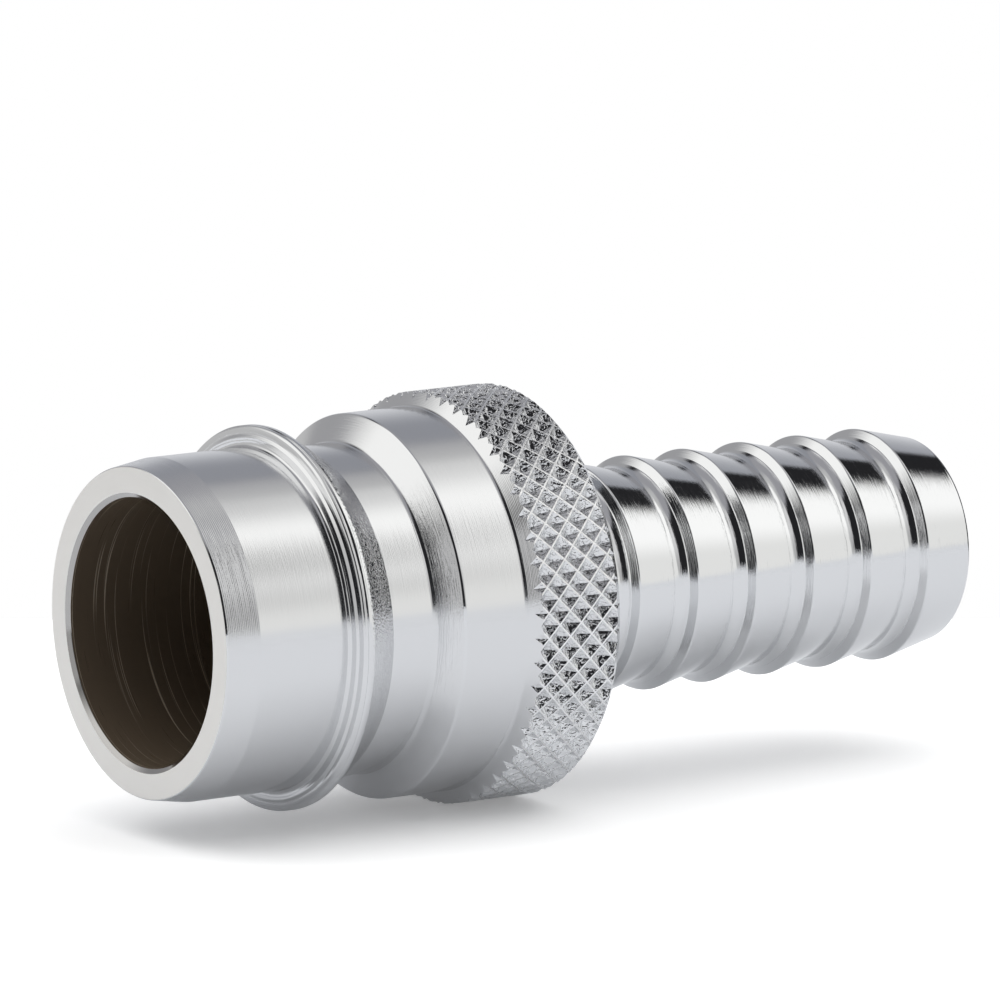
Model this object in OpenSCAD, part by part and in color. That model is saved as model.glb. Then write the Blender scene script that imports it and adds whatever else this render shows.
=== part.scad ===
// Quick coupling probe with a hose tail, turned from one bar.
// It stands on its open nose: the nose face is z = 0, the axis is Z and the hose tail points up.

/* [Nose] */
// Outside diameter of the nose that slides into the socket
nose_d = 20; // [19.8:0.05:20.6]
// Diameter of the nose at its open end, where the lead-in starts
nose_tip_d = 19.34; // [18.6:0.02:19.7]
// Length of the lead-in taper
lead_len = 2.1; // [1:0.1:4]
// Length from the open end to the stop flange
nose_len = 8.14; // [6:0.02:11]
// Diameter of the bore that takes the socket's seal and valve
bore_d = 15.7; // [13:0.1:16.8]
// Depth of that bore to its full diameter
bore_depth = 21; // [14:0.5:22.5]
// Width of the chamfer round both bore mouths
chamfer_w = 0.3; // [0.1:0.02:0.5]
// Depth of that chamfer along the bore
chamfer_depth = 0.22; // [0.1:0.02:0.5]

/* [Locking groove] */
// Diameter of the flange in front of the groove
flange_d = 22.5; // [22:0.05:23.5]
// Width of the flange at its edge
flange_w = 0.7; // [0.5:0.05:1.4]
// Radius of the hollow between nose and flange
flange_fillet = 0.24; // [0.1:0.02:0.3]
// Length of the cone that falls from the flange to the neck
ramp_len = 2.4; // [1.6:0.05:3]
// Diameter of the neck where the locking balls sit
neck_d = 19.4; // [18.6:0.05:20.4]
// Length of the neck
neck_len = 2.85; // [2:0.05:4]
// Length of the cone that rises from the neck to the body
rise_len = 1.07; // [0.8:0.01:1.6]
// Radius of the hollow between neck and rising cone
neck_fillet = 0.35; // [0.1:0.05:0.6]

/* [Body and knurled collar] */
// Diameter of the smooth body
body_d = 22.62; // [21.6:0.02:23]
// Length of the smooth body
body_len = 4.2; // [3:0.02:6]
// Diameter over the ridges of the knurl
collar_d = 24.3; // [24.2:0.05:25.4]
// Length of the collar with both chamfers
collar_len = 6.22; // [5.2:0.02:9]
// Angle of the collar's front chamfer from the axis
collar_front_angle = 55; // [45:1:65]
// Angle of the collar's rear chamfer from the axis
collar_rear_angle = 43; // [38:1:60]
// Diameter of the collar's rear face
collar_face_d = 23.32; // [22.8:0.02:23.4]
// Diamond pits round the knurl in one row
knurl_pits = 51; // [40:1:60]
// Length of one diamond pit along the axis
knurl_pitch = 1.477; // [1.2:0.002:1.8]
// Depth of a pit below the ridges
knurl_depth = 0.46; // [0.25:0.01:0.5]
// Width of the ridges that are left between the pits
ridge_w = 0.1; // [0.06:0.01:0.2]

/* [Hose tail] */
// Diameter over the barbs
barb_d = 14; // [13.6:0.05:14.8]
// Smallest diameter between the barbs
root_d = 12.62; // [12:0.02:12.9]
// Number of barbs
barb_count = 6; // [3:1:8]
// Distance from one barb to the next
barb_pitch = 4.16; // [3.4:0.02:5]
// Distance from the collar to the crest of the first barb
first_barb = 4.62; // [3:0.02:7]
// Distance from the crest of the last barb to the end of the tail
tail_tip_len = 3.67; // [2.5:0.01:4.5]
// Length along the axis in which a barb rises from its root to its crest
barb_rise_len = 1.23; // [1.15:0.01:1.5]
// Radius of the hollow in front of a barb's shoulder
barb_fillet = 0.93; // [0.4:0.01:1]
// Length of the narrow land between that hollow and the shoulder
barb_land = 0.08; // [0.04:0.01:0.15]
// Radius of the rounded end of the tail
tail_round = 0.35; // [0.1:0.05:0.5]
// Diameter of the bore through the tail
tail_bore_d = 9.6; // [8:0.1:10.2]

/* [Hidden] */
$fn = 120;
cut = 1;
arc_steps = 4;
points_per_pit = 5;
drill_angle = 59;
edge_break = 0.07;
flange_edge_r = 0.36;
flange_edge_w = 0.2;
body_fillet = 0.26;
root_fillet = 0.3;
hollow_end_angle = 41;
knurl_skin = 0.25;

nose_r = nose_d / 2;
nose_tip_r = nose_tip_d / 2;
bore_r = bore_d / 2;
flange_r = flange_d / 2;
neck_r = neck_d / 2;
body_r = body_d / 2;
collar_r = collar_d / 2;
collar_face_r = collar_face_d / 2;
barb_r = barb_d / 2;
root_r = root_d / 2;
tail_bore_r = tail_bore_d / 2;

flange_z = nose_len;
ramp_z = flange_z + flange_w;
neck_z = ramp_z + ramp_len;
rise_z = neck_z + neck_len;
body_z = rise_z + rise_len;
collar_z = body_z + body_len;
collar_end_z = collar_z + collar_len;
first_barb_z = collar_end_z + first_barb;
last_barb_z = first_barb_z + (barb_count - 1) * barb_pitch;
total_len = last_barb_z + tail_tip_len;
rise_angle = atan((body_r - neck_r) / rise_len);

// The hollow and the rounded edge of the flange share the step between nose and flange.
flange_step = flange_r - nose_r;
flange_hollow_r = min(flange_fillet, flange_step / 2);
flange_edge_h = min(flange_edge_r, flange_step - flange_hollow_r);

// The blank stands above the knurl's ridges, and the knurl is cut out of it.
blank_r = collar_r + knurl_skin;
front_chamfer_len = cone_len(body_r, blank_r, collar_front_angle);
rear_chamfer_len = cone_len(blank_r, collar_face_r, collar_rear_angle);

// A barb falls from its crest along a cone, and rises to the next by a hollow, a narrow land and
// a steep shoulder.
taper_angle = atan((barb_r - root_r) / (barb_pitch - barb_rise_len));
hollow_rise_len = barb_fillet * (sin(taper_angle) + sin(hollow_end_angle));
shoulder_len = barb_rise_len - barb_land - hollow_rise_len;
tail_end_r = barb_r - tan(taper_angle) * (tail_tip_len - tail_round);

knurl_step = knurl_pitch / 2;
knurl_angle = 360 / knurl_pits;
pit_r = collar_r - knurl_depth;
// The pattern starts in front of the collar and ends behind it.
knurl_lead = 0.5;
knurl_columns = ceil((collar_len + 2 * knurl_lead) / knurl_step) + 1;
knurl_start_z = collar_z - knurl_lead;
ridge_half = ridge_w / sqrt(2);
ridge_turn = ridge_half / collar_r * 180 / PI;

// Length of a cone between two radii, whether it rises or falls.
function cone_len(r0, r1, angle) = abs(r1 - r0) / tan(angle);

// Points of a hollow of radius r that turns away from the axis, from slope a0 to slope a1,
// starting at radius start_r and height start_z.
function hollow(start_r, start_z, r, a0, a1) =
    [for (k = [0 : arc_steps])
        let (a = a0 + (a1 - a0) * k / arc_steps)
        [start_r + r * (cos(a0) - cos(a)), start_z + r * (sin(a) - sin(a0))]];

// Points of a quarter ellipse that rounds an outer edge from a face to the surface beyond it.
function edge_round(r, z, dr, dz) =
    [for (k = [0 : arc_steps])
        let (a = 90 * k / arc_steps)
        [r - dr * (1 - sin(a)), z + dz * (1 - cos(a))]];

function nose_outline() = concat(
    [
        [0, 0],
        [nose_tip_r - edge_break, 0],
        [nose_tip_r, edge_break],
        [nose_r, lead_len]
    ],
    hollow(nose_r, flange_z - flange_hollow_r, flange_hollow_r, 0, 90),
    edge_round(flange_r, flange_z, flange_edge_h, flange_edge_w),
    [[flange_r, ramp_z], [neck_r, neck_z]]
);

function body_outline() = concat(
    hollow(neck_r, rise_z - neck_fillet * tan(rise_angle / 2), neck_fillet, 0, rise_angle),
    [
        [body_r - edge_break * sin(rise_angle), body_z - edge_break * cos(rise_angle)],
        [body_r, body_z + edge_break]
    ],
    hollow(
        body_r, collar_z - body_fillet * tan(collar_front_angle / 2),
        body_fillet, 0, collar_front_angle
    ),
    [
        [blank_r, collar_z + front_chamfer_len],
        [blank_r, collar_end_z - rear_chamfer_len],
        [collar_face_r, collar_end_z]
    ]
);

// One barb: the hollow, the land, the shoulder and the broken crest.
function barb_outline(crest_z, start_angle) =
    let (
        shoulder_z = crest_z - shoulder_len,
        hollow_len = barb_fillet * (sin(hollow_end_angle) - sin(start_angle)),
        land_r = root_r + barb_fillet * (cos(start_angle) - cos(hollow_end_angle))
    )
    concat(
        hollow(root_r, shoulder_z - barb_land - hollow_len, barb_fillet, start_angle, hollow_end_angle),
        [
            [land_r, shoulder_z],
            [barb_r - edge_break, crest_z - edge_break / 2],
            [barb_r - edge_break * tan(taper_angle), crest_z + edge_break]
        ]
    );

function tail_outline() = concat(
    [for (k = [0 : arc_steps])
        let (a = 90 * k / arc_steps)
        [root_r + root_fillet * (1 - sin(a)), collar_end_z + root_fillet * (1 - cos(a))]],
    barb_outline(first_barb_z, 0),
    [for (k = [1 : barb_count - 1]) each barb_outline(first_barb_z + k * barb_pitch, -taper_angle)],
    [for (k = [0 : arc_steps])
        let (a = 90 * k / arc_steps)
        [tail_end_r - tail_round * (1 - cos(a)), total_len - tail_round * (1 - sin(a))]],
    [[0, total_len]]
);

// The solid bar after turning, before it is bored and knurled.
module turned_blank() {
    rotate_extrude()
        polygon(concat(nose_outline(), body_outline(), tail_outline()));
}

module bores() {
    translate([0, 0, -cut])
        cylinder(h = bore_depth + cut, r = bore_r);
    translate([0, 0, bore_depth])
        cylinder(h = bore_r / tan(drill_angle), r1 = bore_r, r2 = 0);
    translate([0, 0, -cut])
        cylinder(h = total_len + 2 * cut, r = tail_bore_r);
    mouth_chamfer(0, bore_r, 0);
    mouth_chamfer(total_len, tail_bore_r, 180);
}

// A cone that breaks the edge of a bore at height z. It widens downwards, or upwards when turned over.
module mouth_chamfer(z, r, turn) {
    translate([0, 0, z])
        rotate([turn, 0, 0])
            translate([0, 0, -chamfer_depth])
                cylinder(h = 2 * chamfer_depth, r1 = r + 2 * chamfer_w, r2 = r);
}

function polar(r, a, z) = [r * cos(a), r * sin(a), z];

function knurl_turn(column, k) = (k + (column % 2) / 2) * knurl_angle;

// Five points belong to each pit of a column: its bottom, and the four corners of the ridge
// crossing that follows it round the collar (before it, after it, nose side, tail side).
function pit_points(column, k) =
    let (
        z = knurl_start_z + column * knurl_step,
        bottom = knurl_turn(column, k),
        cross = bottom + knurl_angle / 2
    )
    [
        polar(pit_r, bottom, z),
        polar(collar_r, cross - ridge_turn, z),
        polar(collar_r, cross + ridge_turn, z),
        polar(collar_r, cross, z - ridge_half),
        polar(collar_r, cross, z + ridge_half)
    ];

// A ring round the collar that has the knurl as its inner face.
module knurl_cutter() {
    last = knurl_columns - 1;
    rim_r = blank_r + cut;
    rim_base = knurl_columns * knurl_pits * points_per_pit;
    function wrap(k) = (k + knurl_pits) % knurl_pits;
    function at(column, k, point) = (column * knurl_pits + wrap(k)) * points_per_pit + point;
    function rim(end, k) = rim_base + end * knurl_pits + wrap(k);
    rim_points = [
        for (column = [0, last], k = [0 : knurl_pits - 1])
            polar(rim_r, knurl_turn(column, k), knurl_start_z + column * knurl_step)
    ];
    points = concat(
        [for (column = [0 : last], k = [0 : knurl_pits - 1]) each pit_points(column, k)],
        rim_points
    );
    // Between two columns, pit k of one lies beside crossing k or k - 1 of the other.
    faces = [
        for (column = [0 : last - 1], k = [0 : knurl_pits - 1])
            let (
                next = column + 1,
                up = column % 2 == 0 ? k : k + 1,
                down = up - 1,
                bottom = at(column, k, 0),
                above = at(column, k, 1),
                below = at(column, k - 1, 2),
                ahead = at(next, down, 3),
                next_bottom = at(next, up, 0),
                next_above = at(next, up, 1),
                next_below = at(next, down, 2),
                behind = at(column, k, 4)
            )
            each [
                [bottom, above, ahead],
                [bottom, ahead, below],
                [next_bottom, behind, next_above],
                [next_bottom, next_below, behind],
                [above, behind, next_below, ahead],
                [below, ahead, at(next, down, 1), at(column, k - 1, 4)],
                [above, at(column, k, 2), behind],
                [at(next, down, 1), ahead, next_below]
            ]
    ];
    end_faces = [
        for (k = [0 : knurl_pits - 1])
            each [
                [rim(0, k), rim(0, k + 1), at(0, k + 1, 0), at(0, k, 2), at(0, k, 1), at(0, k, 0)],
                [at(last, k, 0), at(last, k, 1), at(last, k, 2), at(last, k + 1, 0), rim(1, k + 1), rim(1, k)]
            ]
    ];
    outer_faces = [
        for (k = [0 : knurl_pits - 1])
            each [
                [rim(0, k), rim(1, k), rim(0, k + 1)],
                [rim(1, k), rim(1, k + 1), rim(0, k + 1)]
            ]
    ];
    polyhedron(points = points, faces = concat(faces, end_faces, outer_faces), convexity = 6);
}

module probe_body() {
    color("silver")
        difference() {
            turned_blank();
            bores();
            knurl_cutter();
        }
}

probe_body();
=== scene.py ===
"""Studio scene of a plated quick coupling probe with a knurled collar and a barbed hose tail.

The probe stands on its open nose in the row frame. The picture shows it lying on a pale table, balanced on its
collar with its axis level, so the table is a plane that touches the collar, and the camera is turned to look at it
that way. Lengths are in millimetres until a finished mesh is scaled to metres.
"""
from __future__ import annotations

import logging
import math
from dataclasses import dataclass, field
from enum import Enum
from typing import TypeAlias

import bmesh
import bpy
from mathutils import Matrix, Vector

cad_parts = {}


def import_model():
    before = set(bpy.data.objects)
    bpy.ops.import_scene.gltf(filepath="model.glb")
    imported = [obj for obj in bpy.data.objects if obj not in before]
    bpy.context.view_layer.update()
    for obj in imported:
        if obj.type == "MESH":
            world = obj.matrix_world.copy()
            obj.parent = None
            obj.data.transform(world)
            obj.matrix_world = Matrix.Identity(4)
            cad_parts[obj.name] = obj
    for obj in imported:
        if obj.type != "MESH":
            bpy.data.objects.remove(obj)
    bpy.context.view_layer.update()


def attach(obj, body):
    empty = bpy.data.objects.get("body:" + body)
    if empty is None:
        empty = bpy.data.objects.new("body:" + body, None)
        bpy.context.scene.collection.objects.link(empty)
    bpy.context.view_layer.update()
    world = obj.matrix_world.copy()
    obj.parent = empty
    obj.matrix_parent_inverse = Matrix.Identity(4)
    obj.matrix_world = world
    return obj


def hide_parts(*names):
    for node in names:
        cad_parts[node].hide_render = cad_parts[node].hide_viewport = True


LOG = logging.getLogger("probe_scene")
MM = 0.001
NODE = "probe_body"
MIX_A, MIX_B, MIX_RESULT = 6, 7, 2
Socket: TypeAlias = "bpy.types.NodeSocket"
Fed: TypeAlias = "bpy.types.NodeSocket | float | Vector | tuple[float, ...]"


class Zone(Enum):
    """Parts of the probe's surface that were finished in different ways."""

    FACE = 0
    BORE = 1
    LEAD_IN = 2
    NOSE = 3
    FLANGE = 4
    RAMP = 5
    NECK = 6
    RISE = 7
    BODY = 8
    CHAMFER = 9
    KNURL = 10
    CONE = 11
    # The ridges' zone carries a lighter colour than the pits: a painted highlight.
    RIDGE = 12
    TAIL = 13
    EDGE = 14


@dataclass(frozen=True)
class Station:
    """A point of the probe's outline, at radius r and height z, with the radius that breaks its corner."""

    r: float
    z: float
    break_r: float = 0.0
    sharp: bool = True


@dataclass(frozen=True)
class ProbeSizes:
    """Sizes of the probe in millimetres, and its angles in degrees.

    They have the same names as in the part's source, up to the fine forms that only the scene has: the slant and the
    rounding on the flange's face, the scored line round the flange, the soft start of the cone behind it, and the
    radii that break the corners.
    """

    nose_d: float = 20.0
    nose_tip_d: float = 19.34
    lead_len: float = 2.1
    nose_len: float = 8.14
    bore_d: float = 15.7
    bore_depth: float = 21.0
    chamfer_w: float = 0.3
    chamfer_depth: float = 0.22
    flange_d: float = 22.5
    flange_w: float = 0.7
    flange_fillet: float = 0.24
    ramp_len: float = 2.4
    neck_d: float = 19.4
    neck_len: float = 2.85
    rise_len: float = 1.07
    neck_fillet: float = 0.35
    body_d: float = 22.62
    body_len: float = 4.2
    body_fillet: float = 0.26
    collar_d: float = 24.3
    collar_len: float = 6.22
    collar_front_angle: float = 55.0
    collar_rear_angle: float = 43.0
    collar_face_d: float = 23.32
    knurl_pits: int = 51
    knurl_pitch: float = 1.477
    knurl_depth: float = 0.46
    knurl_skin: float = 0.25
    knurl_lead: float = 0.5
    ridge_w: float = 0.1
    barb_d: float = 14.0
    root_d: float = 12.62
    root_fillet: float = 0.3
    barb_count: int = 6
    barb_pitch: float = 4.16
    first_barb: float = 4.62
    tail_tip_len: float = 3.67
    barb_rise_len: float = 1.23
    barb_fillet: float = 0.93
    barb_land: float = 0.08
    tail_round: float = 0.35
    tail_bore_d: float = 9.6
    drill_angle: float = 59.0
    hollow_end_angle: float = 41.0
    slant_r: float = 0.68
    slant_w: float = 0.1
    round_r: float = 0.5
    round_w: float = 0.17
    score_z: float = 8.6
    score_w: float = 0.15
    score_depth: float = 0.055
    soft_r: float = 0.04
    soft_len: float = 0.16
    soft_break: float = 0.02
    mouth_break: float = 0.04
    tip_break: float = 0.1
    flange_break: float = 0.04
    body_break: float = 0.09
    face_break: float = 0.05
    crest_break: float = 0.07
    drill_break: float = 0.1
    bore_break: float = 0.03

    @property
    def flange_z(self) -> float:
        """Height of the flange's front face."""
        return self.nose_len

    @property
    def ramp_z(self) -> float:
        """Height where the cone behind the flange starts."""
        return self.flange_z + self.flange_w

    @property
    def neck_z(self) -> float:
        """Height where the neck starts."""
        return self.ramp_z + self.ramp_len

    @property
    def rise_z(self) -> float:
        """Height where the cone up to the body starts."""
        return self.neck_z + self.neck_len

    @property
    def body_z(self) -> float:
        """Height where the body starts."""
        return self.rise_z + self.rise_len

    @property
    def collar_z(self) -> float:
        """Height where the collar starts."""
        return self.body_z + self.body_len

    @property
    def collar_end_z(self) -> float:
        """Height of the collar's rear face."""
        return self.collar_z + self.collar_len

    @property
    def first_barb_z(self) -> float:
        """Height of the first barb's crest."""
        return self.collar_end_z + self.first_barb

    @property
    def total_len(self) -> float:
        """Length of the whole probe."""
        return self.first_barb_z + (self.barb_count - 1) * self.barb_pitch + self.tail_tip_len

    @property
    def taper_angle(self) -> float:
        """Slope of a barb's cone in degrees."""
        return math.degrees(math.atan2((self.barb_d - self.root_d) / 2, self.barb_pitch - self.barb_rise_len))


@dataclass(frozen=True)
class PhotoView:
    """Where the camera stands, measured from the picture.

    The probe's axis runs from its nose to the right, up a little and away: azimuth, elevation and roll turn it, in
    degrees. The two pitches are how far the camera looks down on the table, and on the horizon that the bright metal
    shows. nose_right, nose_down and nose_ahead lead from the camera to the middle of the nose, in millimetres, and
    lens is the focal length for a frame as wide as sensor. clip is what the camera sees, in metres.
    """

    azimuth: float = 56.976
    elevation: float = 5.63
    roll: float = 0.515
    table_pitch: float = 10.25
    studio_pitch: float = 1.9
    nose_right: float = -20.812
    nose_down: float = 7.679
    nose_ahead: float = 590.0
    lens: float = 369.4
    sensor: float = 36.0
    clip: tuple[float, float] = (0.01, 20.0)

    def axes(self) -> Matrix:
        """Rotation that turns row directions into right, down and ahead of the camera.

        Returns:
            A matrix whose columns are the row's X, Y and Z axes as the camera sees them.
        """
        az, el = math.radians(self.azimuth), math.radians(self.elevation)
        along = Vector((math.cos(el) * math.sin(az), -math.sin(el), math.cos(el) * math.cos(az)))
        side = Vector((0, 1, 0)).cross(along).normalized()
        other = along.cross(side)
        turn = Matrix.Rotation(math.radians(self.roll), 3, along)
        return Matrix((turn @ side, turn @ other, along)).transposed()

    def direction(self, right: float, up: float, back: float) -> Vector:
        """A direction in the row frame, given by its parts to the camera's right, up, and back to the camera."""
        return (self.axes().transposed() @ Vector((right, -up, -back))).normalized()

    def upward(self, pitch: float) -> Vector:
        """Upward direction, in the row frame, of a level on which the camera looks down by pitch degrees."""
        return self.direction(0, math.cos(math.radians(pitch)), math.sin(math.radians(pitch)))

    def build(self) -> bpy.types.Object:
        """Makes the camera and sets it as the scene's camera.

        Returns:
            The camera object.
        """
        back = self.axes().transposed()
        spot = -(back @ Vector((self.nose_right, self.nose_down, self.nose_ahead))) * MM
        turn = Matrix((self.direction(1, 0, 0), self.direction(0, 1, 0), self.direction(0, 0, 1))).transposed()
        data = bpy.data.cameras.new("photo_view")
        data.sensor_fit = "HORIZONTAL"
        data.sensor_width = self.sensor
        data.lens = self.lens
        data.clip_start, data.clip_end = self.clip
        camera = bpy.data.objects.new("photo_view", data)
        bpy.context.scene.collection.objects.link(camera)
        camera.matrix_world = Matrix.Translation(spot) @ turn.to_4x4()
        bpy.context.scene.camera = camera
        return camera


@dataclass
class Outline:
    """The closed section of the probe on one side of its axis, with so many steps in each rounding."""

    sizes: ProbeSizes
    steps: int = 8

    def hollow(self, r: float, z: float, fillet: float, a0: float, a1: float) -> list[Station]:
        """Points of a hollow that turns away from the axis.

        Args:
            r: Radius where it starts.
            z: Height where it starts.
            fillet: Radius of the hollow itself.
            a0: Slope where it starts, in degrees.
            a1: Slope where it ends, in degrees.

        Returns:
            The stations along the hollow, none of them sharp.
        """
        found = []
        for k in range(self.steps + 1):
            a = math.radians(a0 + (a1 - a0) * k / self.steps)
            s = math.radians(a0)
            found.append(Station(
                r + fillet * (math.cos(s) - math.cos(a)), z + fillet * (math.sin(a) - math.sin(s)), sharp=False))
        return found

    def rounded(self, r: float, z: float, dr: float, dz: float, falls: bool) -> list[Station]:
        """Points of a quarter ellipse that rounds an outer edge.

        Args:
            r: Radius of the outer surface.
            z: Height of the flat face beside the edge.
            dr: Width of the rounding across the face.
            dz: Length of the rounding along the axis.
            falls: True where the face is at the top end, so that the outline turns inwards.

        Returns:
            The stations along the rounded edge.
        """
        found = []
        for k in range(self.steps + 1):
            a = math.pi / 2 * k / self.steps
            if falls:
                found.append(Station(r - dr * (1 - math.cos(a)), z - dz * (1 - math.sin(a)), sharp=False))
            else:
                found.append(Station(r - dr * (1 - math.sin(a)), z + dz * (1 - math.cos(a)), sharp=False))
        return found

    def nose(self) -> list[Station]:
        """Nose face, lead-in, nose cylinder, flange and the cone behind it.

        Returns:
            The stations from the bore's mouth to the neck.
        """
        s = self.sizes
        tip_r, nose_r, flange_r = s.nose_tip_d / 2, s.nose_d / 2, s.flange_d / 2
        return [
            Station(s.bore_d / 2 + s.chamfer_w, 0, s.mouth_break),
            Station(tip_r, 0, s.tip_break),
            Station(nose_r, s.lead_len),
            *self.hollow(nose_r, s.flange_z - s.flange_fillet, s.flange_fillet, 0, 90),
            Station(flange_r - s.slant_r, s.flange_z),
            *self.rounded(flange_r, s.flange_z + s.slant_w, s.round_r, s.round_w, False),
            Station(flange_r, s.score_z - s.score_w / 2),
            Station(flange_r - s.score_depth, s.score_z),
            Station(flange_r, s.score_z + s.score_w / 2),
            Station(flange_r, s.ramp_z, s.flange_break),
            Station(flange_r - s.soft_r, s.ramp_z + s.soft_len, s.soft_break),
            Station(s.neck_d / 2, s.neck_z),
        ]

    def body(self) -> list[Station]:
        """Neck, rising cone, body and the collar before it is knurled.

        Returns:
            The stations from the neck to the collar's rear face.
        """
        s = self.sizes
        neck_r, body_r, face_r = s.neck_d / 2, s.body_d / 2, s.collar_face_d / 2
        blank_r = s.collar_d / 2 + s.knurl_skin
        rise = math.degrees(math.atan2(body_r - neck_r, s.rise_len))
        front, rear = math.radians(s.collar_front_angle), math.radians(s.collar_rear_angle)
        return [
            *self.hollow(neck_r, s.rise_z - s.neck_fillet * math.tan(math.radians(rise / 2)),
                         s.neck_fillet, 0, rise),
            Station(body_r, s.body_z, s.body_break),
            *self.hollow(body_r, s.collar_z - s.body_fillet * math.tan(front / 2),
                         s.body_fillet, 0, s.collar_front_angle),
            Station(blank_r, s.collar_z + (blank_r - body_r) / math.tan(front)),
            Station(blank_r, s.collar_end_z - (blank_r - face_r) / math.tan(rear)),
            Station(face_r, s.collar_end_z, s.face_break),
        ]

    def barb(self, crest_z: float, start: float) -> list[Station]:
        """One barb, from the hollow before it to its crest.

        Args:
            crest_z: Height of the crest.
            start: Slope of the surface that leads into the hollow, in degrees.

        Returns:
            The stations of the hollow and the crest.
        """
        s = self.sizes
        taper, end = math.radians(s.taper_angle), math.radians(s.hollow_end_angle)
        shoulder_z = crest_z - s.barb_rise_len + s.barb_land + s.barb_fillet * (math.sin(taper) + math.sin(end))
        foot_z = shoulder_z - s.barb_land - s.barb_fillet * (math.sin(end) - math.sin(math.radians(start)))
        arc = self.hollow(s.root_d / 2, foot_z, s.barb_fillet, start, s.hollow_end_angle)
        last = arc.pop()
        crest = Station(s.barb_d / 2, crest_z, s.crest_break)
        return [*arc, Station(last.r, last.z), Station(last.r, shoulder_z), crest]

    def tail(self) -> list[Station]:
        """Foot of the hose tail, its barbs, the rounded end and both bores.

        Returns:
            The stations from the collar's rear face round the tail end and back to the nose.
        """
        s = self.sizes
        root_r, barb_r, tail_r, bore_r = s.root_d / 2, s.barb_d / 2, s.tail_bore_d / 2, s.bore_d / 2
        found = []
        for k in range(self.steps + 1):
            a = math.pi / 2 * k / self.steps
            found.append(Station(root_r + s.root_fillet * (1 - math.sin(a)),
                                 s.collar_end_z + s.root_fillet * (1 - math.cos(a)), sharp=False))
        for k in range(s.barb_count):
            found += self.barb(s.first_barb_z + k * s.barb_pitch, 0.0 if k == 0 else -s.taper_angle)
        end_r = barb_r - math.tan(math.radians(s.taper_angle)) * (s.tail_tip_len - s.tail_round)
        found += self.rounded(end_r, s.total_len, s.tail_round, s.tail_round, True)
        cone = (bore_r - tail_r) / math.tan(math.radians(s.drill_angle))
        return found + [
            Station(tail_r + s.chamfer_w, s.total_len, s.mouth_break),
            Station(tail_r, s.total_len - s.chamfer_depth, s.mouth_break),
            Station(tail_r, s.bore_depth + cone, s.drill_break),
            Station(bore_r, s.bore_depth, s.drill_break),
            Station(bore_r, s.chamfer_depth, s.bore_break),
        ]

    def stations(self) -> list[Station]:
        """The whole closed section, in order."""
        return self.nose() + self.body() + self.tail()


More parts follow.
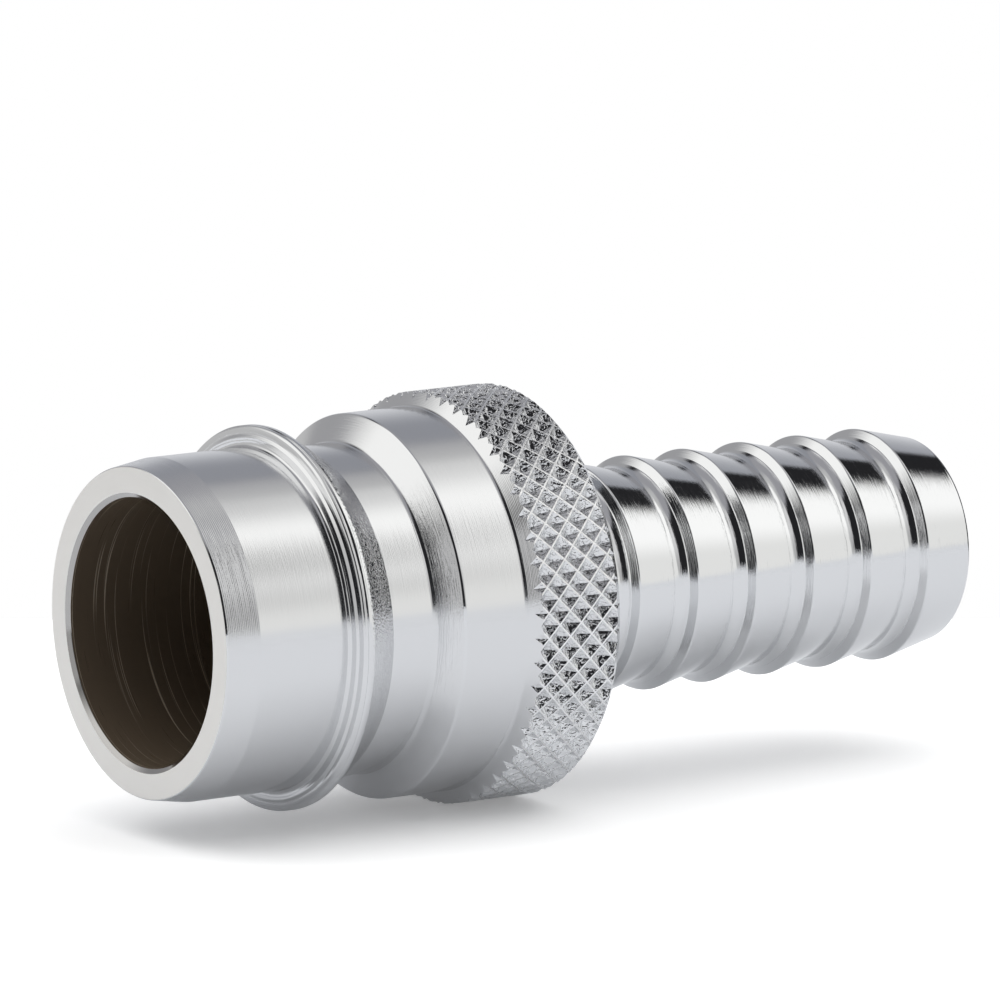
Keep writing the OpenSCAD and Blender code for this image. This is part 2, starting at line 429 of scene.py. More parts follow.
@dataclass
class KnurlCutter:
    """The ring that is cut from the collar and leaves diamond pits between narrow ridges.

    rim is how far it reaches out past the blank, and weld how close two corners are to be one, in millimetres.
    """

    sizes: ProbeSizes
    rim: float = 1.0
    weld: float = 1e-4

    def _place(self, r: float, turn: float, z: float) -> Vector:
        """A point at radius r, turned by so many degrees, at height z."""
        a = math.radians(turn)
        return Vector((r * math.cos(a), r * math.sin(a), z))

    def _cell(self, bm: bmesh.types.BMesh) -> None:
        """Adds the pit flanks and the ridges between a pit of the first column and the next column.

        Args:
            bm: The mesh that takes them.
        """
        s = self.sizes
        pitch = 360 / s.knurl_pits
        ridge_r, pit_r = s.collar_d / 2, s.collar_d / 2 - s.knurl_depth
        half = s.ridge_w / math.sqrt(2)
        turn = math.degrees(half / ridge_r)
        z0 = s.collar_z - s.knurl_lead
        z1 = z0 + s.knurl_pitch / 2

        def add(r: float, a: float, z: float) -> bmesh.types.BMVert:
            """Adds one corner of the cell."""
            return bm.verts.new(self._place(r, a, z))

        pit = add(pit_r, 0, z0)
        above, far = add(ridge_r, pitch / 2 - turn, z0), add(ridge_r, pitch / 2 + turn, z0)
        below = add(ridge_r, -pitch / 2 + turn, z0)
        behind, behind_near = add(ridge_r, pitch / 2, z0 + half), add(ridge_r, -pitch / 2, z0 + half)
        ahead = add(ridge_r, 0, z1 - half)
        next_below, next_near = add(ridge_r, turn, z1), add(ridge_r, -turn, z1)
        next_pit, next_above = add(pit_r, pitch / 2, z1), add(ridge_r, pitch - turn, z1)
        for corners in (
            (pit, above, ahead), (pit, ahead, below),
            (next_pit, behind, next_above), (next_pit, next_below, behind),
            (above, behind, next_below, ahead), (below, ahead, next_near, behind_near),
            (above, far, behind), (next_near, ahead, next_below),
        ):
            bm.faces.new(corners)

    def build(self) -> bmesh.types.BMesh:
        """Copies the cell round and along the collar and closes it outside.

        Returns:
            A closed ring in millimetres.
        """
        s = self.sizes
        bm = bmesh.new()
        self._cell(bm)
        pitch = math.radians(360 / s.knurl_pits)
        cell = bm.verts[:] + bm.edges[:] + bm.faces[:]
        bmesh.ops.spin(bm, geom=cell, cent=(0, 0, 0), axis=(0, 0, 1), angle=pitch * (s.knurl_pits - 1),
                       steps=s.knurl_pits - 1, use_duplicate=True)
        ring = bm.verts[:] + bm.edges[:] + bm.faces[:]
        step = s.knurl_pitch / 2
        for column in range(1, math.ceil((s.collar_len + 2 * s.knurl_lead) / step)):
            made = bmesh.ops.duplicate(bm, geom=ring)["geom"]
            verts = [v for v in made if isinstance(v, bmesh.types.BMVert)]
            turn = Matrix.Rotation(pitch / 2 * (column % 2), 3, "Z")
            bmesh.ops.rotate(bm, verts=verts, cent=(0, 0, 0), matrix=turn)
            bmesh.ops.translate(bm, verts=verts, vec=(0, 0, column * step))
        bmesh.ops.remove_doubles(bm, verts=bm.verts[:], dist=self.weld)
        edges = [e for e in bm.edges if e.is_boundary]
        made = bmesh.ops.extrude_edge_only(bm, edges=edges)["geom"]
        rim_r = s.collar_d / 2 + s.knurl_skin + self.rim
        for v in made:
            if isinstance(v, bmesh.types.BMVert):
                v.co.xy = v.co.xy.normalized() * rim_r
        rims = [e for e in made if isinstance(e, bmesh.types.BMEdge)]
        bmesh.ops.bridge_loops(bm, edges=rims)
        bmesh.ops.recalc_face_normals(bm, faces=bm.faces[:])
        LOG.info("knurl cutter: %d faces, open edges %d", len(bm.faces), sum(not e.is_manifold for e in bm.edges))
        return bm


@dataclass(frozen=True)
class ZoneLimits:
    """How far each zone of the surface reaches past its own size, in millimetres, so that its edges belong to it.

    wall is for both bores, mouth for the edge of the bore's chamfer and drill for the cone at the bore's end. tip and
    body_edge are the widths of the two bright broken edges.
    """

    wall: float = 0.01
    mouth: float = 0.02
    drill: float = 3.0
    face: float = 0.012
    tip: float = 0.1
    body_edge: float = 0.075
    nose: float = 0.05
    flange: float = 0.05
    tail: float = 0.001
    cone: float = 0.008
    ridge: float = 0.02


@dataclass
class ProbeShell:
    """The visible skin of the probe: one revolve with the knurl cut into its collar.

    break_steps is the number of faces on a broken corner. An edge of the section that is longer than long_holds times
    hold is split at hold from both its ends. weld is how close two corners are to be one, level how far the ends of a
    ring's edge differ in height, and place_steps how finely a place is rounded, per millimetre. Where two faces meet
    at more than crease degrees, the edge between them is sharp.
    """

    sizes: ProbeSizes
    limits: ZoneLimits = ZoneLimits()
    segments: int = 360
    break_steps: int = 3
    hold: float = 0.03
    long_holds: int = 8
    weld: float = 1e-5
    level: float = 1e-3
    place_steps: int = 200
    crease: float = 25.0

    def _blank(self) -> tuple[bmesh.types.BMesh, set[tuple[int, int]]]:
        """Spins the section.

        Returns:
            The closed blank, and the places of the rings that stay sharp.
        """
        bm = bmesh.new()
        stations = Outline(self.sizes).stations()
        verts = [bm.verts.new((p.r, 0, p.z)) for p in stations]
        for a, b in zip(verts, verts[1:] + verts[:1]):
            bm.edges.new((a, b))
        sharp = {self._key(p.r, p.z) for p in stations if p.sharp and not p.break_r}
        for vert, p in zip(verts, stations):
            if p.break_r:
                bmesh.ops.bevel(bm, geom=[vert], offset=p.break_r, offset_type="OFFSET", segments=self.break_steps,
                                profile=0.5, affect="VERTICES", material=-1, clamp_overlap=True)
        self._hold_long_edges(bm)
        bmesh.ops.spin(bm, geom=bm.verts[:] + bm.edges[:], cent=(0, 0, 0), axis=(0, 0, 1), angle=math.tau,
                       steps=self.segments, use_merge=True)
        bmesh.ops.remove_doubles(bm, verts=bm.verts[:], dist=self.weld)
        bmesh.ops.recalc_face_normals(bm, faces=bm.faces[:])
        return bm, sharp

    def _hold_long_edges(self, bm: bmesh.types.BMesh) -> None:
        """Splits each long edge of the section near both ends, so that its surface stays true up to the corners.

        Args:
            bm: The mesh that holds the section.
        """
        for edge in [e for e in bm.edges if e.calc_length() > self.long_holds * self.hold]:
            start, end = edge.verts
            rest, _ = bmesh.utils.edge_split(edge, start, self.hold / edge.calc_length())
            long = max((edge, rest), key=lambda e: e.calc_length())
            bmesh.utils.edge_split(long, end, self.hold / long.calc_length())

    def _key(self, r: float, z: float) -> tuple[int, int]:
        """A rounded place on the section, in steps of 0.005 mm."""
        return round(r * self.place_steps), round(z * self.place_steps)

    def _zone(self, r: float, z: float) -> Zone:
        """The zone of a face.

        Args:
            r: Radius of the face's middle.
            z: Height of the face's middle.

        Returns:
            The zone that was finished together with it.
        """
        s, past = self.sizes, self.limits
        if r < s.bore_d / 2 + past.wall and s.chamfer_depth - past.mouth < z < s.bore_depth + past.drill:
            return Zone.BORE
        if r < s.tail_bore_d / 2 + past.wall and z < s.total_len - s.chamfer_depth:
            return Zone.BORE
        if z < past.face:
            return Zone.FACE
        if (z < past.tip and r > s.nose_tip_d / 2 - past.tip) or abs(z - s.body_z) < past.body_edge:
            return Zone.EDGE
        if z < s.chamfer_depth and r < s.bore_d / 2 + s.chamfer_w:
            return Zone.CHAMFER
        if z < s.lead_len:
            return Zone.LEAD_IN
        if z < s.flange_z:
            return Zone.NOSE if r < s.nose_d / 2 + past.nose else Zone.FLANGE
        if z < s.ramp_z + past.flange:
            return Zone.FLANGE
        if z < s.neck_z:
            return Zone.RAMP
        if z < s.rise_z:
            return Zone.NECK
        if z < s.body_z:
            return Zone.RISE
        if z < s.collar_z:
            return Zone.BODY
        if z > s.collar_end_z - past.tail:
            return Zone.TAIL
        front = s.body_d / 2 + (z - s.collar_z) * math.tan(math.radians(s.collar_front_angle))
        rear = s.collar_face_d / 2 + (s.collar_end_z - z) * math.tan(math.radians(s.collar_rear_angle))
        if r > min(front, rear) - past.cone:
            return Zone.CONE
        return Zone.RIDGE if r > s.collar_d / 2 - past.ridge else Zone.KNURL

    def build(self) -> bpy.types.Object:
        """Cuts the knurl, marks the sharp edges and gives each face its zone.

        Returns:
            The finished object, in metres.
        """
        blank, sharp = self._blank()
        cutter = KnurlCutter(self.sizes).build()
        scene = bpy.context.scene
        made = []
        for name, bm in (("probe_shell", blank), ("knurl_cutter", cutter)):
            mesh = bpy.data.meshes.new(name)
            bm.to_mesh(mesh)
            bm.free()
            thing = bpy.data.objects.new(name, mesh)
            scene.collection.objects.link(thing)
            made.append(thing)
        shell, ring = made
        cut = shell.modifiers.new("knurl", "BOOLEAN")
        cut.operation = "DIFFERENCE"
        cut.solver = "MANIFOLD"
        cut.object = ring
        bpy.context.view_layer.update()
        done = bpy.data.meshes.new_from_object(shell.evaluated_get(bpy.context.evaluated_depsgraph_get()))
        shell.modifiers.clear()
        shell.data = done
        done.materials.clear()
        bpy.data.objects.remove(ring)
        bm = bmesh.new()
        bm.from_mesh(done)
        for face in bm.faces:
            middle = face.calc_center_median()
            face.material_index = self._zone(middle.xy.length, middle.z).value
            face.smooth = True
        for edge in bm.edges:
            a, b = (v.co for v in edge.verts)
            key = self._key(a.xy.length, a.z)
            ring_edge = abs(a.z - b.z) < self.level and key == self._key(b.xy.length, b.z) and key in sharp
            steep = edge.is_manifold and edge.calc_face_angle() > math.radians(self.crease)
            edge.smooth = not (ring_edge or steep)
        bmesh.ops.scale(bm, verts=bm.verts[:], vec=(MM, MM, MM))
        LOG.info("probe shell: %d faces, open edges %d", len(bm.faces), sum(not e.is_manifold for e in bm.edges))
        bm.to_mesh(done)
        bm.free()
        return shell


class Sketch:
    """A node tree with short calls for the nodes that the finishes use."""

    def __init__(self, tree: bpy.types.NodeTree) -> None:
        """Keeps the tree and empties it."""
        self.tree = tree
        tree.nodes.clear()

    def node(self, kind: str, **values: object) -> bpy.types.Node:
        """Adds a node and sets its properties.

        Args:
            kind: The node's type name.
            values: Properties of the node.

        Returns:
            The new node.
        """
        made = self.tree.nodes.new(kind)
        for name, value in values.items():
            setattr(made, name, value)
        return made

    def feed(self, socket: Socket, value: Fed) -> None:
        """Links a socket to another, or sets its value.

        Args:
            socket: The input.
            value: The output that feeds it, or the value that it keeps.
        """
        if isinstance(value, bpy.types.NodeSocket):
            self.tree.links.new(value, socket)
        else:
            socket.default_value = value

    def math(self, operation: str, a: Fed, b: Fed = 0.0, c: Fed = 0.0) -> Socket:
        """Adds a Math node.

        Args:
            operation: What it works out.
            a: Its first value.
            b: Its second value.
            c: Its third value.

        Returns:
            Its output.
        """
        made = self.node("ShaderNodeMath", operation=operation)
        for socket, value in zip(made.inputs, (a, b, c)):
            self.feed(socket, value)
        return made.outputs[0]

    def dot(self, a: Fed, b: Fed) -> Socket:
        """Adds a dot product.

        Args:
            a: The first vector.
            b: The second vector.

        Returns:
            Its output.
        """
        made = self.node("ShaderNodeVectorMath", operation="DOT_PRODUCT")
        self.feed(made.inputs[0], a)
        self.feed(made.inputs[1], b)
        return made.outputs["Value"]

    def mix(self, share: Fed, a: Fed, b: Fed, label: str = "") -> Socket:
        """Adds a colour Mix node.

        Args:
            share: How much of the second colour it takes, from 0 to 1.
            a: The first colour.
            b: The second colour.
            label: The name that the node shows.

        Returns:
            Its output.
        """
        made = self.node("ShaderNodeMix", data_type="RGBA", label=label)
        self.feed(made.inputs["Factor"], share)
        self.feed(made.inputs[MIX_A], a)
        self.feed(made.inputs[MIX_B], b)
        return made.outputs[MIX_RESULT]

    def step(self, value: Fed, low: float, high: float) -> Socket:
        """Adds a smooth step.

        Args:
            value: What it reads.
            low: Where it gives 0.
            high: Where it gives 1.

        Returns:
            Its output.
        """
        made = self.node("ShaderNodeMapRange", interpolation_type="SMOOTHSTEP", clamp=True)
        self.feed(made.inputs["Value"], value)
        self.feed(made.inputs["From Min"], low)
        self.feed(made.inputs["From Max"], high)
        return made.outputs["Result"]


class LatheMarks:
    """The marks that the lathe, polishing and plating leave on the metal, as one node group for all finishes.

    RADIUS_SHARE lets the marks follow the radius too, so that a flat face has rings. Each pair of scales stretches a
    noise round the axis and along it, per millimetre. WANDER is how far the rings stray, each pair of limits is where
    a noise turns from nothing to a full mark, and ROUGHNESS_SHARES are the part of the roughness that the streaks
    change and the part that stays.
    """

    RADIUS_SHARE: float = 0.6
    WANDER_SCALES: tuple[float, float] = (0.4, 3.0)
    WANDER: float = 9.0
    GRAIN_LIMITS: tuple[float, float] = (0.4, 0.68)
    SCRATCH_SCALES: tuple[float, float] = (0.07, 10.0)
    SCRATCH_LIMITS: tuple[float, float] = (0.66, 0.74)
    ROUGHNESS_SHARES: tuple[float, float] = (0.8, 0.6)

    def __init__(self) -> None:
        """Makes the group with its sockets and nodes."""
        self.tree = bpy.data.node_groups.new("lathe marks", "ShaderNodeTree")
        for name, value in (("Roughness", 0.2), ("Ring Width", 0.12), ("Ring Depth", 0.0), ("Streak Length", 1.0),
                            ("Streak Width", 0.06), ("Streak Depth", 0.0), ("Grain Width", 0.1),
                            ("Grain Depth", 0.0)):
            self.tree.interface.new_socket(name, in_out="INPUT", socket_type="NodeSocketFloat").default_value = value
        self.tree.interface.new_socket("Normal", in_out="OUTPUT", socket_type="NodeSocketVector")
        self.tree.interface.new_socket("Roughness", in_out="OUTPUT", socket_type="NodeSocketFloat")
        self.tree.interface.new_socket("Scratches", in_out="OUTPUT", socket_type="NodeSocketFloat")
        self._draw(Sketch(self.tree))

    def _noise(self, s: Sketch, vector: Fed, detail: float) -> Socket:
        """Adds a noise.

        Args:
            s: The group's nodes.
            vector: The place that it reads.
            detail: Its number of finer layers.

        Returns:
            Its value.
        """
        noise = s.node("ShaderNodeTexNoise", noise_dimensions="3D")
        s.feed(noise.inputs["Vector"], vector)
        noise.inputs["Scale"].default_value = 1.0
        noise.inputs["Detail"].default_value = detail
        return noise.outputs["Fac"]

    def _stretched(self, s: Sketch, operation: str, place: tuple[Socket, ...], scales: tuple[Fed, Fed]) -> Socket:
        """Adds the place that a stretched noise reads.

        Args:
            s: The group's nodes.
            operation: MULTIPLY where the scales are per millimetre, DIVIDE where they are lengths.
            place: The two directions across the axis, and the one along it.
            scales: The scale across the axis and the scale along it.

        Returns:
            The three scaled values as one vector.
        """
        across, along = scales
        scaled = [s.math(operation, value, scale) for value, scale in zip(place, (across, across, along))]
        joined = s.node("ShaderNodeCombineXYZ")
        for socket, value in zip(joined.inputs, scaled):
            s.feed(socket, value)
        return joined.outputs[0]

    def _draw(self, s: Sketch) -> None:
        """Places the nodes: rings from the tool, streaks from polishing, grain from plating, and a few scratches.

        Args:
            s: The group's nodes.
        """
        given = s.node("NodeGroupInput").outputs
        object_place = s.node("ShaderNodeTexCoord").outputs["Object"]
        scaled = s.node("ShaderNodeVectorMath", operation="SCALE")
        s.feed(scaled.inputs[0], object_place)
        scaled.inputs["Scale"].default_value = 1 / MM
        parts = s.node("ShaderNodeSeparateXYZ")
        s.feed(parts.inputs[0], scaled.outputs[0])
        x, y, z = parts.outputs
        radius = s.math("SQRT", s.math("ADD", s.math("MULTIPLY", x, x), s.math("MULTIPLY", y, y)))
        along = s.math("MULTIPLY_ADD", radius, self.RADIUS_SHARE, z)
        place = (x, y, along)

        wander = self._noise(s, self._stretched(s, "MULTIPLY", place, self.WANDER_SCALES), detail=2.0)
        turns = s.math("MULTIPLY", s.math("DIVIDE", along, given["Ring Width"]), math.tau)
        rings = s.math("SINE", s.math("MULTIPLY_ADD", wander, self.WANDER, turns))

        lengths = (given["Streak Length"], given["Streak Width"])
        streaks = self._noise(s, self._stretched(s, "DIVIDE", place, lengths), detail=3.0)

        size = s.node("ShaderNodeVectorMath", operation="SCALE")
        s.feed(size.inputs[0], scaled.outputs[0])
        s.feed(size.inputs["Scale"], s.math("DIVIDE", 1.0, given["Grain Width"]))
        grain = s.step(self._noise(s, size.outputs[0], detail=2.0), *self.GRAIN_LIMITS)

        normal: Socket | None = None
        for height, depth in ((rings, "Ring Depth"), (streaks, "Streak Depth"), (grain, "Grain Depth")):
            bump = s.node("ShaderNodeBump")
            bump.inputs["Strength"].default_value = 1.0
            s.feed(bump.inputs["Distance"], s.math("MULTIPLY", given[depth], MM))
            s.feed(bump.inputs["Height"], height)
            if normal is not None:
                s.feed(bump.inputs["Normal"], normal)
            normal = bump.outputs["Normal"]

        lines = self._noise(s, self._stretched(s, "MULTIPLY", place, self.SCRATCH_SCALES), detail=1.0)
        out = s.node("NodeGroupOutput").inputs
        s.feed(out["Normal"], normal)
        uneven = s.math("MULTIPLY_ADD", streaks, *self.ROUGHNESS_SHARES)
        s.feed(out["Roughness"], s.math("MULTIPLY", given["Roughness"], uneven))
        s.feed(out["Scratches"], s.step(lines, *self.SCRATCH_LIMITS))


@dataclass(frozen=True)
class TurnedFinish:
    """A plated metal surface with the marks of the lathe.

    rings, streaks and grain give the width and the depth of each kind of mark in millimetres, and scratched is the
    colour of the few long scratches, where the surface shows any.
    """

    name: str
    colour: tuple[float, float, float] = (0.86, 0.86, 0.87)
    roughness: float = 0.2
    anisotropy: float = 0.0
    rings: tuple[float, float] = (0.12, 0.0)
    streaks: tuple[float, float] = (0.06, 0.0)
    streak_len: float = 1.0
    grain: tuple[float, float] = (0.1, 0.0)
    metallic: float = 1.0
    scratched: tuple[float, float, float] | None = None

    def build(self, marks: LatheMarks) -> bpy.types.Material:
        """Makes the material.

        Args:
            marks: The node group that draws the marks.

        Returns:
            A material with one Principled shader.
        """
        material = bpy.data.materials.new(self.name)
        material.use_nodes = True
        s = Sketch(material.node_tree)
        out = s.node("ShaderNodeOutputMaterial")
        skin = s.node("ShaderNodeBsdfPrincipled")
        s.feed(out.inputs["Surface"], skin.outputs["BSDF"])
        skin.inputs["Base Color"].default_value = (*self.colour, 1.0)
        skin.inputs["Metallic"].default_value = self.metallic
        skin.inputs["Anisotropic"].default_value = self.anisotropy
        drawn = s.node("ShaderNodeGroup", node_tree=marks.tree)
        for name, value in (("Roughness", self.roughness), ("Ring Width", self.rings[0]),
                            ("Ring Depth", self.rings[1]), ("Streak Length", self.streak_len),
                            ("Streak Width", self.streaks[0]), ("Streak Depth", self.streaks[1]),
                            ("Grain Width", self.grain[0]), ("Grain Depth", self.grain[1])):
            drawn.inputs[name].default_value = value
        s.feed(skin.inputs["Roughness"], drawn.outputs["Roughness"])
        s.feed(skin.inputs["Normal"], drawn.outputs["Normal"])
        if self.scratched:
            s.feed(skin.inputs["Base Color"],
                   s.mix(drawn.outputs["Scratches"], (*self.colour, 1.0), (*self.scratched, 1.0)))
        return material


CHROME = (0.81, 0.815, 0.825)
SATIN = (0.8, 0.803, 0.812)
FINISHES: dict[Zone, TurnedFinish] = {
    Zone.FACE: TurnedFinish("nose face", (0.9, 0.88, 0.845), 0.4, streaks=(0.1, 0.002), metallic=0.5),
    Zone.BORE: TurnedFinish("dark bore", (0.18, 0.138, 0.098), 0.33, 0.3, streaks=(0.07, 0.006), streak_len=4.0,
                            metallic=0.4, scratched=(0.6, 0.52, 0.42)),
    Zone.LEAD_IN: TurnedFinish("turned lead-in", SATIN, 0.13, 0.6, (0.12, 0.002), (0.05, 0.0012), 3.0,
                               (0.09, 0.001)),
    Zone.NOSE: TurnedFinish("satin nose", SATIN, 0.13, 0.6, (0.2, 0.0), (0.045, 0.0018), 3.0, (0.1, 0.0003)),
    Zone.FLANGE: TurnedFinish("bright flange", SATIN, 0.09, 0.4, (0.1, 0.001), (0.05, 0.0015), 2.0, (0.1, 0.0006)),
    Zone.RAMP: TurnedFinish("grained ramp", SATIN, 0.06, 0.3, (0.1, 0.0), (0.06, 0.001), 0.6, (0.15, 0.014)),
    Zone.NECK: TurnedFinish("satin neck", SATIN, 0.12, 0.6, (0.2, 0.0), (0.045, 0.0018), 3.0, (0.1, 0.0003)),
    Zone.RISE: TurnedFinish("brushed rise", SATIN, 0.08, 0.6, (0.1, 0.0), (0.07, 0.008), 2.0, (0.08, 0.001)),
    Zone.BODY: TurnedFinish("satin body", SATIN, 0.13, 0.6, (0.2, 0.0), (0.045, 0.0018), 3.0, (0.1, 0.0003)),
    Zone.CHAMFER: TurnedFinish("bright chamfer", (0.5, 0.49, 0.48), 0.1, 0.4, streaks=(0.06, 0.003)),
    Zone.KNURL: TurnedFinish("bright pits", (0.84, 0.845, 0.855), 0.1, grain=(0.26, 0.036)),
    # The ridges get a lighter colour than the pits. It is a painted highlight that stands for the lamp's glint on
    # their narrow lands.
    Zone.RIDGE: TurnedFinish("ridges painted bright", (0.95, 0.95, 0.955), 0.3, grain=(0.15, 0.014)),
    Zone.CONE: TurnedFinish("bright cone", SATIN, 0.1, 0.4, (0.1, 0.0008), (0.05, 0.0016), 3.0, (0.1, 0.0006)),
    Zone.TAIL: TurnedFinish("polished tail", CHROME, 0.04, 0.5, (0.1, 0.0), (0.055, 0.0055), 1.2, (0.1, 0.0002)),
    Zone.EDGE: TurnedFinish("broken edge", CHROME, 0.06, streaks=(0.05, 0.001), streak_len=0.6),
}


@dataclass(frozen=True)
class Panel:
    """A soft-edged field of studio light, by direction.

    turn is the angle from the camera's side towards the right, and height the angle above the table, in degrees.
    soft is the width of the soft edges of both. lean is how far the field's sides move to the right for each degree
    of height.
    """

    name: str
    turn: tuple[float, float]
    height: tuple[float, float]
    soft: tuple[float, float]
    colour: tuple[float, float, float]
    lean: float = 0.0

    @property
    def starts_left(self) -> bool:
        """True for a field that starts on the left, whose angles run from -180 to 180."""
        return self.turn[0] < -100


@dataclass
class Studio:
    """The table, the soft light round it, and the camera's white background.

    edge is how far below level the pale floor ends, and tip how much higher that is on the right and on the
    camera's side, in degrees. seam is the angle where the turns of the other fields start again. The table lies gap
    millimetres under the collar, and reaches table_half metres each way from a middle that is table_shift away from
    the collar. The metal shows it in the colour mirrored, and the camera sees it in the colour seen, and glow is its
    own light for both and what the camera adds. lamp_angle is the width of the lamp in degrees.
    """

    view: PhotoView
    sizes: ProbeSizes
    dark: tuple[float, float, float] = (0.02, 0.02, 0.022)
    floor: tuple[float, float, float] = (0.79, 0.805, 0.83)
    edge: float = -6.5
    tip: tuple[float, float] = (5.0, 2.2)
    seam: float = -150.0
    gap: float = 0.02
    table_half: float = 0.15
    table_shift: float = -0.095
    mirrored: tuple[float, float, float] = (0.625, 0.638, 0.66)
    seen: tuple[float, float, float] = (0.98, 0.98, 0.98)
    glow: tuple[float, float] = (0.08, 0.11)
    lamp_angle: float = 95.0
    lamp_power: float = 2.15
    panels: list[Panel] = field(default_factory=lambda: [
        Panel("ceiling", (-400, 400), (54, 120), (1, 8), (0.36, 0.36, 0.38)),
        Panel("ceiling side", (60, 150), (50, 84), (50, 14), (0.56, 0.56, 0.56)),
        Panel("right wing", (34, 64), (-12, 58), (6, 10), (0.48, 0.48, 0.48)),
        Panel("right wing top", (34, 64), (20, 58), (6, 24), (0.74, 0.74, 0.74)),
        Panel("right card", (57, 103), (-12, 58), (10, 12), (0.9, 0.9, 0.88), 0.42),
        Panel("right lamp", (56, 106), (20, 60), (14, 16), (1.15, 1.15, 1.13), 0.36),
        Panel("backdrop", (152, 240), (-12, 56), (4, 6), (0.31, 0.32, 0.35)),
        Panel("backdrop foot", (152, 205), (-12, 27), (4, 34), (0.66, 0.67, 0.7)),
        Panel("left wing", (-160, -110), (-12, 45), (10, 10), (0.38, 0.38, 0.39)),
        Panel("left foot", (-165, -40), (-12, 15), (8, 6), (0.56, 0.56, 0.56)),
        Panel("left lamp", (-116, -56), (14, 62), (26, 12), (1.08, 1.08, 1.06)),
    ])

    def _mask(self, s: Sketch, panel: Panel, angle: Fed, height: Fed) -> Socket:
        """Adds the mask of a field of light.

        Args:
            s: The world's nodes.
            panel: The field.
            angle: The turn of the direction that is looked at.
            height: The height of that direction.

        Returns:
            1 inside the field and 0 outside it.
        """
        mask: Fed = 1.0
        for value, (low, high), soft in zip((angle, height), (panel.turn, panel.height), panel.soft):
            mask = s.math("MULTIPLY", mask, s.step(value, low - soft / 2, low + soft / 2))
            mask = s.math("MULTIPLY", mask, s.step(value, high + soft / 2, high - soft / 2))
        return mask

    def build_world(self) -> None:
        """Makes the world that the metal reflects, and shows white to the camera."""
        world = bpy.data.worlds.new("studio light")
        bpy.context.scene.world = world
        world.use_nodes = True
        s = Sketch(world.node_tree)
        up = self.view.upward(self.view.studio_pitch)
        right = self.view.direction(1, 0, 0)
        back = right.cross(up)
        place = s.node("ShaderNodeTexCoord").outputs["Generated"]
        turn = s.math("DEGREES", s.math("ARCTAN2", s.dot(place, right), s.dot(place, back)))
        height = s.math("DEGREES", s.math("ARCSINE", s.dot(place, up)))
        wrapped = s.math("ADD", turn, s.math("MULTIPLY", s.math("LESS_THAN", turn, self.seam), 360.0))
        colour: Fed = (*self.dark, 1.0)
        for panel in self.panels:
            angle = turn if panel.starts_left else wrapped
            if panel.lean:
                angle = s.math("MULTIPLY_ADD", height, -panel.lean, angle)
            colour = s.mix(self._mask(s, panel, angle, height), colour, (*panel.colour, 1.0), panel.name)
        edge = s.math("MULTIPLY_ADD", s.dot(place, right), self.tip[0], self.edge)
        edge = s.math("MULTIPLY_ADD", s.dot(place, back), self.tip[1], edge)
        colour = s.mix(s.math("LESS_THAN", height, edge), colour, (*self.floor, 1.0))
        seen = s.node("ShaderNodeLightPath").outputs["Is Camera Ray"]
        colour = s.mix(seen, colour, (1.0, 1.0, 1.0, 1.0))
        light = s.node("ShaderNodeBackground")
        s.feed(light.inputs["Color"], colour)
        out = s.node("ShaderNodeOutputWorld")
        s.feed(out.inputs["Surface"], light.outputs[0])

    def _table_frame(self) -> Matrix:
        """Finds the place on the table under the collar, with its Z axis up.

        Returns:
            The place and its directions, in metres.
        """
        s = self.sizes
        up = self.view.upward(self.view.table_pitch)
        middle_z = (s.collar_z + s.collar_end_z) / 2
        lowest = middle_z * up.z - s.collar_d / 2 * up.xy.length
        collar = Vector((0, 0, middle_z))
        middle = collar + up * (lowest - self.gap - collar.dot(up))
        side = self.view.direction(1, 0, 0)
        side = (side - up * side.dot(up)).normalized()
        return Matrix.Translation(middle * MM) @ Matrix((side, up.cross(side), up)).transposed().to_4x4()

    def build_table(self) -> bpy.types.Object:
        """Makes the pale table, which can't be seen from below.

        Returns:
            The table object.
        """
        bm = bmesh.new()
        place = self._table_frame() @ Matrix.Translation((0.0, self.table_shift, 0.0))
        bmesh.ops.create_grid(bm, x_segments=1, y_segments=1, size=self.table_half, matrix=place)
        mesh = bpy.data.meshes.new("table")
        bm.to_mesh(mesh)
        bm.free()
        table = bpy.data.objects.new("table", mesh)
        bpy.context.scene.collection.objects.link(table)
        material = bpy.data.materials.new("pale table")
        material.use_nodes = True
        s = Sketch(material.node_tree)
        path = s.node("ShaderNodeLightPath").outputs["Is Camera Ray"]
        top = s.node("ShaderNodeBsdfPrincipled")
        top.inputs["Roughness"].default_value = 0.9
        top.inputs["Specular IOR Level"].default_value = 0.0
        s.feed(top.inputs["Base Color"], s.mix(path, (*self.mirrored, 1.0), (*self.seen, 1.0)))
        top.inputs["Emission Color"].default_value = (1.0, 1.0, 1.0, 1.0)
        own_light, added = self.glow
        s.feed(top.inputs["Emission Strength"], s.math("MULTIPLY_ADD", path, added, own_light))
        clear = s.node("ShaderNodeBsdfTransparent")
        both = s.node("ShaderNodeMixShader")
        s.feed(both.inputs[0], s.node("ShaderNodeNewGeometry").outputs["Backfacing"])
        s.feed(both.inputs[1], top.outputs["BSDF"])
        s.feed(both.inputs[2], clear.outputs[0])
        out = s.node("ShaderNodeOutputMaterial")
        s.feed(out.inputs["Surface"], both.outputs[0])
        table.data.materials.append(material)
        return table

    def build_lamp(self) -> bpy.types.Object:
        """Makes the broad lamp above the table, which the metal doesn't show.

        Returns:
            The lamp object.
        """
        data = bpy.data.lights.new("top lamp", "SUN")
        data.angle = math.radians(self.lamp_angle)
        data.energy = self.lamp_power
        lamp = bpy.data.objects.new("top lamp", data)
        bpy.context.scene.collection.objects.link(lamp)
        lamp.matrix_world = self._table_frame()
        lamp.visible_glossy = False
        lamp.visible_camera = False
        return lamp


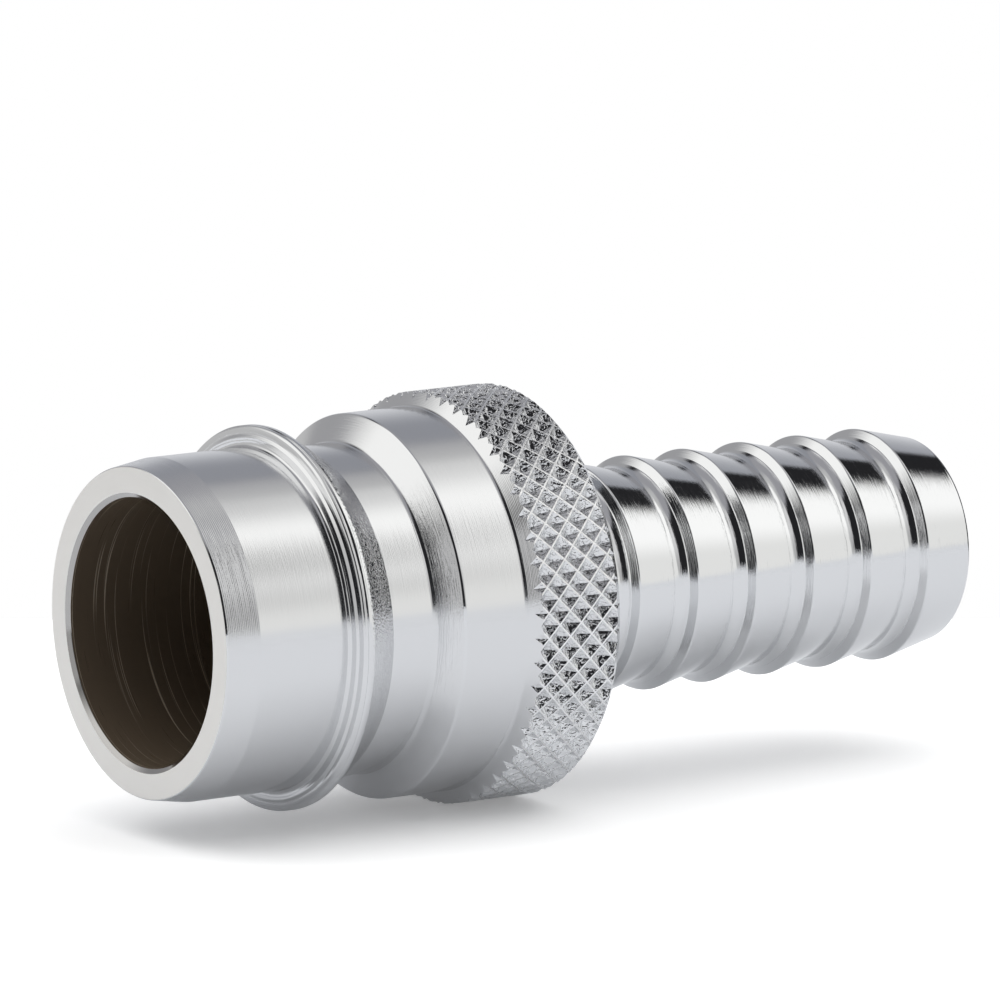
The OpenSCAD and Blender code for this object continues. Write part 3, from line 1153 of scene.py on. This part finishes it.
def main() -> None:
    """Builds the probe, dresses it, and sets up the studio and the camera."""
    logging.basicConfig(level=logging.INFO, format="%(name)s: %(message)s")
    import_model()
    sizes = ProbeSizes()
    view = PhotoView()
    view.build()
    shell = ProbeShell(sizes).build()
    marks = LatheMarks()
    for zone in Zone:
        shell.data.materials.append(FINISHES[zone].build(marks))
    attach(shell, "root")
    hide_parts(NODE)
    studio = Studio(view, sizes)
    studio.build_world()
    studio.build_table()
    studio.build_lamp()
    bpy.context.scene.view_settings.view_transform = "Standard"


if __name__ == "__main__":
    main()
